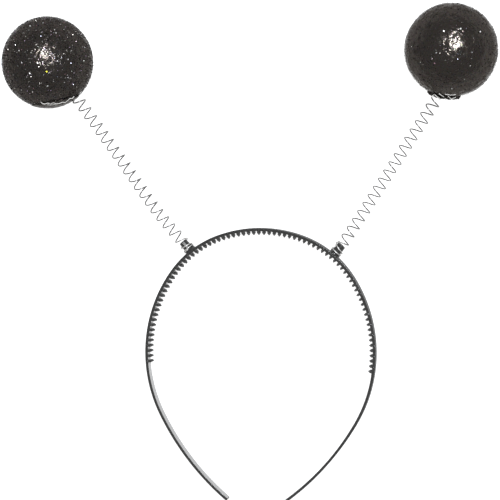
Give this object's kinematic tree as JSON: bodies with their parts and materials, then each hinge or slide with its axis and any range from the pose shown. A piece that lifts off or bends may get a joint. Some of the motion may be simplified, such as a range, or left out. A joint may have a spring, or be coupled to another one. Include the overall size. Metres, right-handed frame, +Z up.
{
  "type": "head bopper",
  "caption": "Thin toothed headband lying on its side, with a glitter-coated foam ball on a coil spring at each side that sways as the wearer moves.",
  "frame": {"origin": "under the middle of the whole part's box, on the surface that it lies on", "axes": "+Z up from that surface, +Y from the leg tips to the crown and on to the balls, +X to the right-hand ball as seen from above"},
  "size_m": [0.2704, 0.2768, 0.05],
  "materials": {
    "moulded_plastic": "charcoal black injection moulded plastic with a soft gloss",
    "spring_wire": "drawn bright steel wire",
    "glitter_coat": "foam under a coat of fine black glitter in clear glue",
    "glitter_glue": "set glue, glossy, with glitter in it"
  },
  "bodies": {
    "band": {"headband": "moulded_plastic"},
    "left_bopper": {"spring_left": "spring_wire", "ball_left": "glitter_coat", "glue_left": "glitter_glue"},
    "right_bopper": {"spring_right": "spring_wire", "ball_right": "glitter_coat", "glue_right": "glitter_glue"}
  },
  "joints": [
    {"name": "left_sway", "type": "hinge", "parent": "band", "child": "left_bopper", "pos_m": [-0.03629, 0.00441, 0.0035], "axis": [0, 0, 1], "range_deg": [-35, 35], "stiffness_Nm_per_rad": 0.005, "deforming": ["spring_left"]},
    {"name": "right_sway", "type": "hinge", "parent": "band", "child": "right_bopper", "pos_m": [0.05271, 0.00599, 0.0035], "axis": [0, 0, -1], "range_deg": [-35, 35], "stiffness_Nm_per_rad": 0.005, "deforming": ["spring_right"]}
  ]
}
